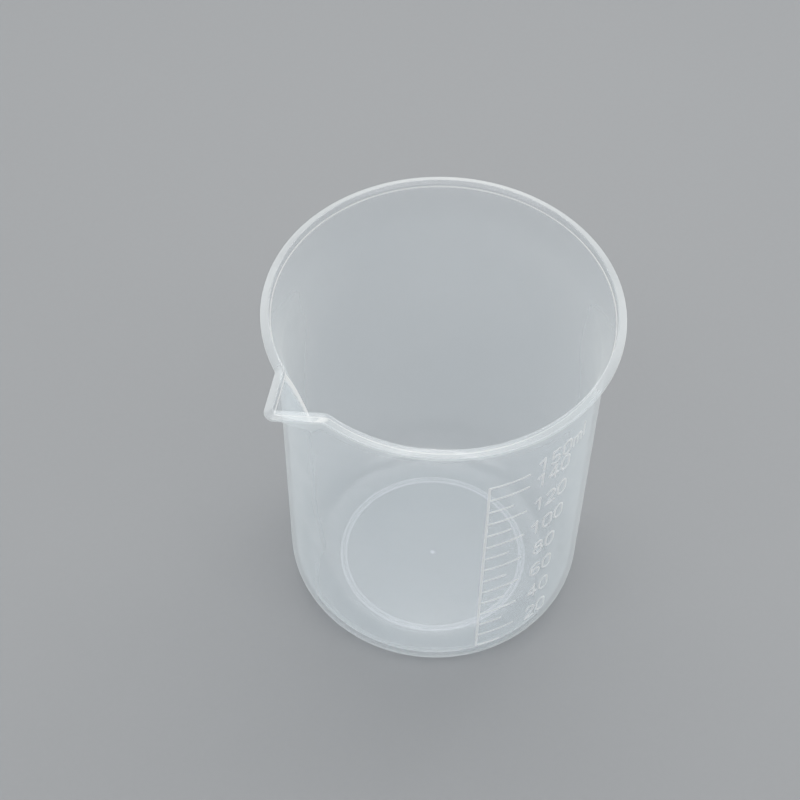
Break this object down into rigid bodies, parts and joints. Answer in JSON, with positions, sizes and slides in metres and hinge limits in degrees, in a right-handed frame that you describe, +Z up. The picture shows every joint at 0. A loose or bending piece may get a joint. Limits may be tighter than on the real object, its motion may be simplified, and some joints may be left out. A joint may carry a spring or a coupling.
{
  "type": "beaker",
  "caption": "Squat translucent plastic laboratory beaker with a flared rim, a folded pouring spout and a raised volume scale.",
  "frame": {"origin": "on the beaker's axis, in the plane of the foot ring that it rests on", "axes": "+Z up along the beaker's axis, the spout points along -X, and the volume scale faces -Y"},
  "size_m": [0.0721, 0.0656, 0.0791],
  "materials": {
    "body": "natural translucent polypropylene, smooth satin moulded skin",
    "scale": "the same polypropylene, raised and a little whiter where it is thicker"
  },
  "bodies": {
    "root": {"base": "body", "foot_ring": "body", "gate_mark": "body", "wall": "body", "collar": "body", "rim": "body", "spout": "body", "spout_lip": "body", "scale_spine": "scale", "scale_line_10": "scale", "scale_line_20": "scale", "scale_line_30": "scale", "scale_line_40": "scale", "scale_line_50": "scale", "scale_line_60": "scale", "scale_line_70": "scale", "scale_line_80": "scale", "scale_line_90": "scale", "scale_line_100": "scale", "scale_line_110": "scale", "scale_line_120": "scale", "scale_line_130": "scale", "scale_line_140": "scale", "scale_line_150": "scale", "numeral_20": "scale", "numeral_40": "scale", "numeral_60": "scale", "numeral_80": "scale", "numeral_100": "scale", "numeral_120": "scale", "numeral_140": "scale", "numeral_150": "scale"}
  },
  "joints": []
}
